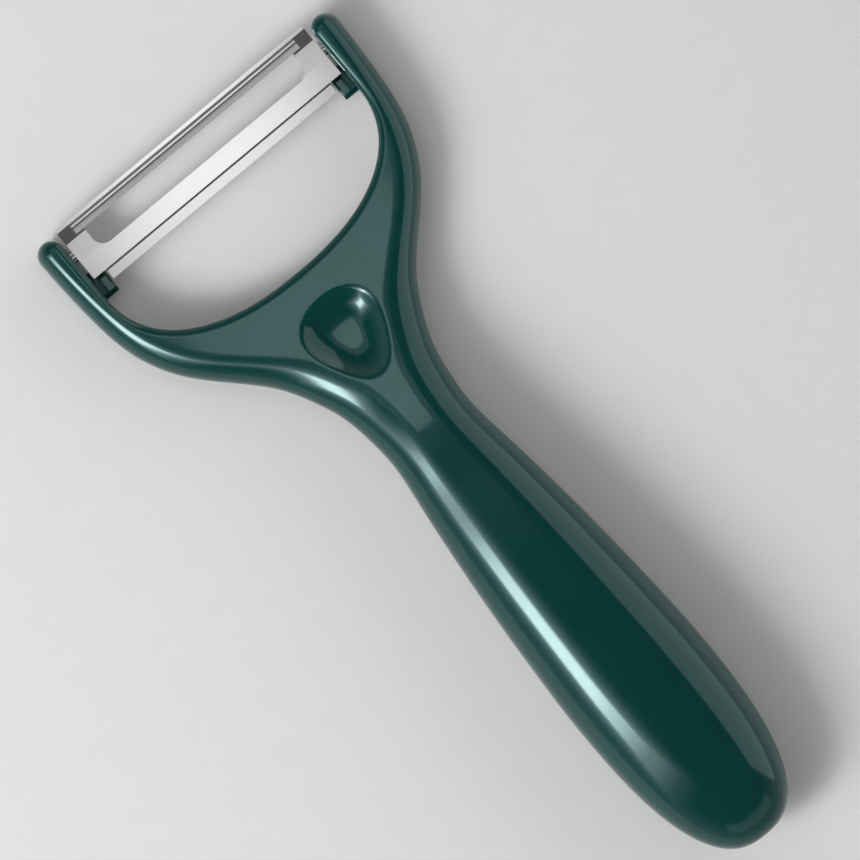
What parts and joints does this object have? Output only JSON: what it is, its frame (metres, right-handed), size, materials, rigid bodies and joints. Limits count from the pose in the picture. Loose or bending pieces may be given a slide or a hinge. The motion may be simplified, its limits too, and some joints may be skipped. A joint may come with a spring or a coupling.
{
  "type": "vegetable peeler",
  "caption": "Y-shaped vegetable peeler with a glossy moulded grip and fork, a thumb dimple, and a slotted steel blade that swivels between the fork arms.",
  "frame": {"origin": "middle of the length and width, at the lowest line of the back, which the peeler lies on", "axes": "+Z out of the front, where the thumb dimple is; +Y along the handle towards the blade; +X along the blade to the right"},
  "size_m": [0.0658, 0.1564, 0.0195],
  "materials": {
    "green_plastic": "polished deep green moulded plastic",
    "blade_steel": "fine-ground stainless steel, lengthwise grain",
    "pin_steel": "bright drawn stainless steel"
  },
  "bodies": {
    "handle": {"handle_front_shell": "green_plastic", "handle_back_shell": "green_plastic"},
    "blade": {"peeling_blade": "blade_steel", "left_pivot_pin": "pin_steel", "right_pivot_pin": "pin_steel"}
  },
  "joints": [
    {"name": "blade_swivel", "type": "hinge", "parent": "handle", "child": "blade", "pos_m": [0, 0.0729, 0.0048], "axis": [1, 0, 0], "range_deg": [-30, 30]}
  ]
}
